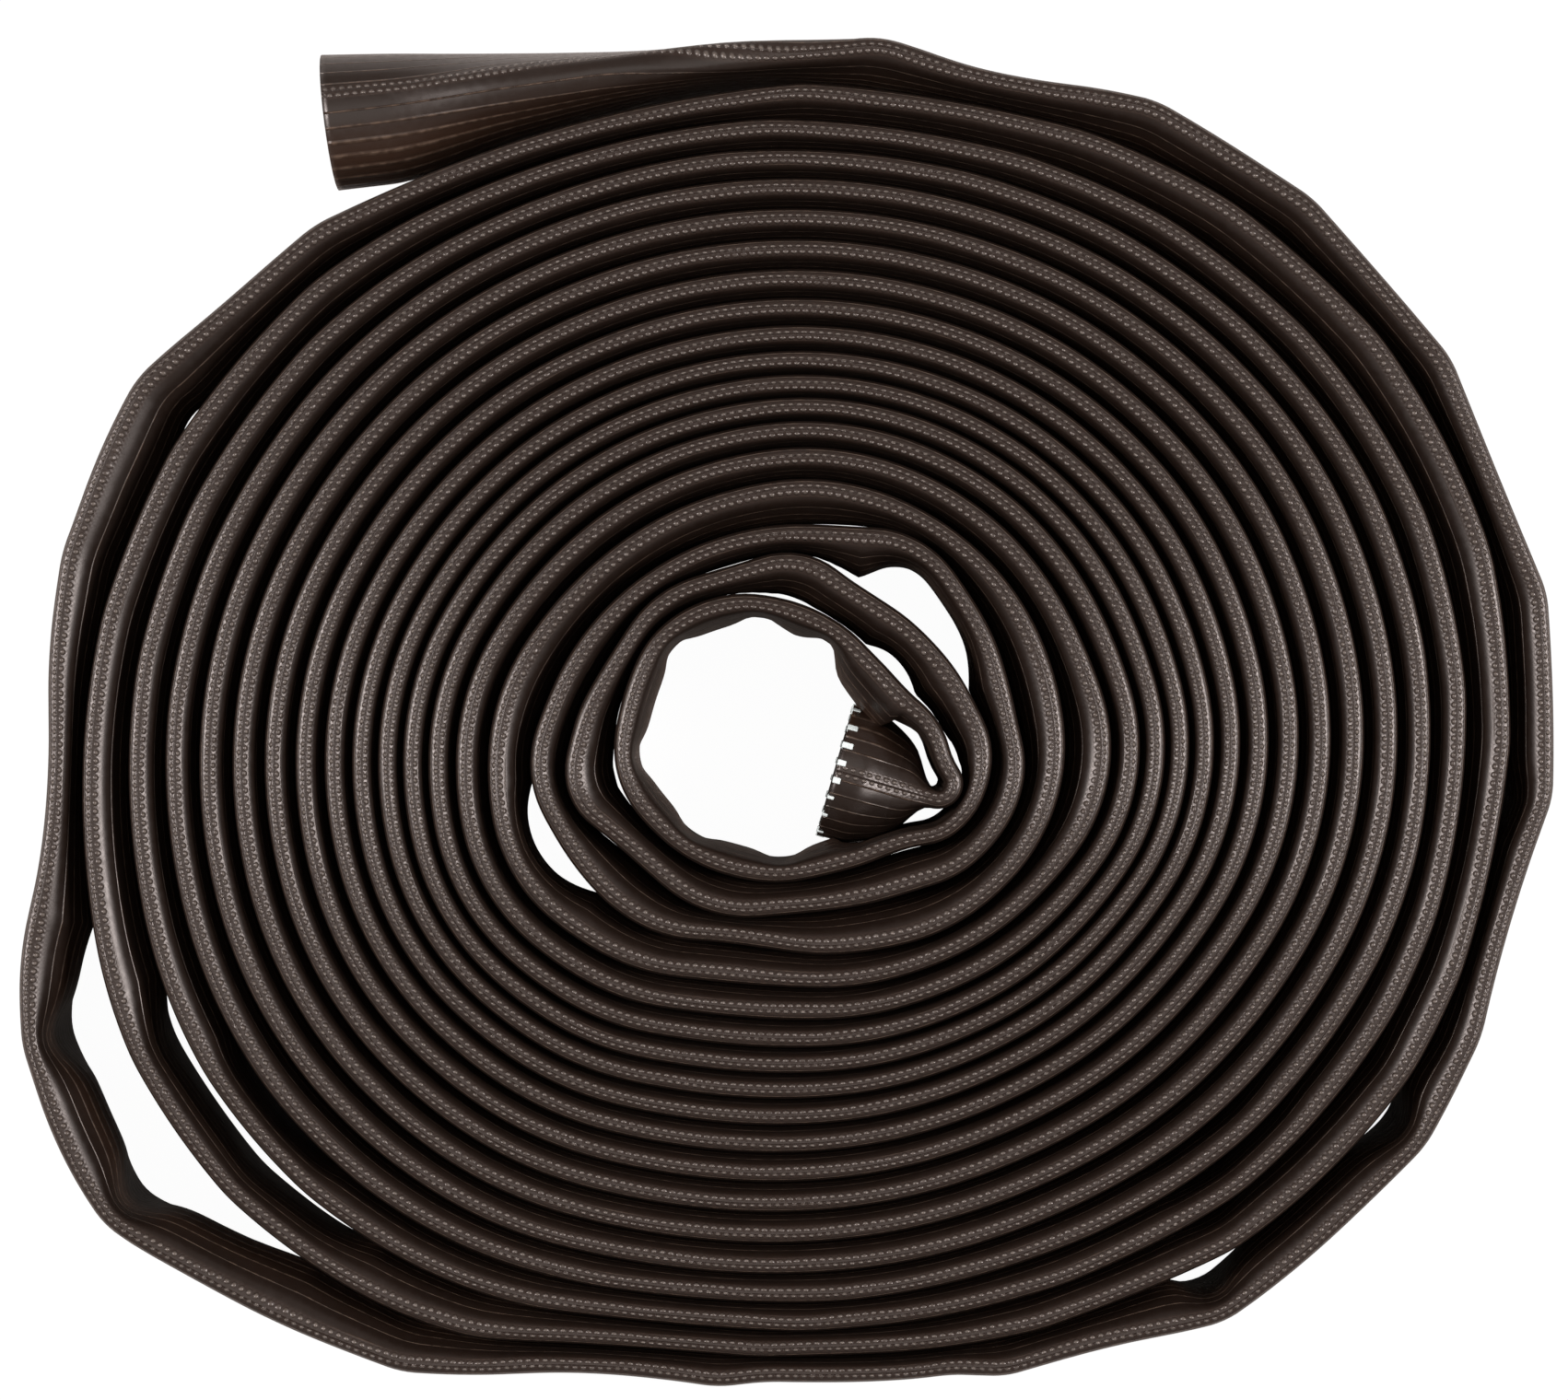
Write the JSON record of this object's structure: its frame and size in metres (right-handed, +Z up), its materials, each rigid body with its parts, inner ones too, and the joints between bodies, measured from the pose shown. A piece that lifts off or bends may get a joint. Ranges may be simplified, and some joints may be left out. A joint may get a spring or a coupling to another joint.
{
  "type": "rolled fire hose",
  "caption": "Covered lay-flat fire hose rolled up on its edge in a flat spiral, with bare cut ends opening to round tubes.",
  "frame": {"origin": "on the floor under the middle of the roll's box, the roll standing on its edge", "axes": "+Z up along the roll's axis; +Y towards the side where the outer end leaves the roll, the outer end pointing to -X"},
  "size_m": [0.4731, 0.4146, 0.0632],
  "materials": {
    "black_rubber": "satin, ribbed",
    "woven_polyester": "woven",
    "lining_rubber": "smooth",
    "white_yarn": "matt"
  },
  "bodies": {
    "coil": {"coil_cover": "black_rubber", "coil_jacket": "woven_polyester", "coil_lining": "lining_rubber"},
    "bend": {"bend_cover": "black_rubber", "bend_jacket": "woven_polyester", "bend_lining": "lining_rubber"},
    "outer_end": {"outer_end_cover": "black_rubber", "outer_end_jacket": "woven_polyester", "outer_end_lining": "lining_rubber"},
    "inner_end": {"inner_end_cover": "black_rubber", "inner_end_jacket": "woven_polyester", "inner_end_lining": "lining_rubber", "yarn_ends": "white_yarn"}
  },
  "joints": [
    {"name": "bend_hinge", "type": "hinge", "parent": "coil", "child": "bend", "pos_m": [0.10981, 0.18822, 0.0315], "axis": [0, 0, -1], "range_deg": [0, 30]},
    {"name": "outer_end_hinge", "type": "hinge", "parent": "bend", "child": "outer_end", "pos_m": [0.02029, 0.20673, 0.0315], "axis": [0, 0, -1], "range_deg": [0, 30]},
    {"name": "inner_end_hinge", "type": "hinge", "parent": "coil", "child": "inner_end", "pos_m": [0.04578, -0.02403, 0.0315], "axis": [0, 0, -1], "range_deg": [0, 8]}
  ]
}
